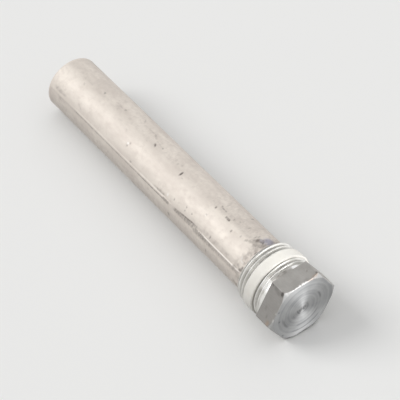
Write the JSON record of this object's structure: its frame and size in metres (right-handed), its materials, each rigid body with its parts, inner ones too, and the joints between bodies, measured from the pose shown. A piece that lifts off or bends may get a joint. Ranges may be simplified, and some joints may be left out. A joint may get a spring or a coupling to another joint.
{
  "type": "sacrificial anode",
  "caption": "Screw-in sacrificial anode: a cast magnesium rod on a hexagonal steel plug with a threaded neck and a white sealing ring.",
  "frame": {"origin": "on the anode's axis, in the under face of the hexagon head, which seats on the tank", "axes": "+X along the rod, into the tank; +Z out through the middle of one hexagon flat; the flat opposite is underneath as the anode lies"},
  "size_m": [0.1496, 0.0312, 0.0278],
  "materials": {
    "plug_steel": "turned and zinc plated, satin",
    "ring_plastic": "smooth, slightly soft white plastic",
    "magnesium": "as cast magnesium, warm grey, with fine pits",
    "core_steel": "plain drawn steel, hidden"
  },
  "bodies": {
    "root": {"hex_plug": "plug_steel", "sealing_ring": "ring_plastic", "magnesium_rod": "magnesium", "steel_core": "core_steel"}
  },
  "joints": []
}
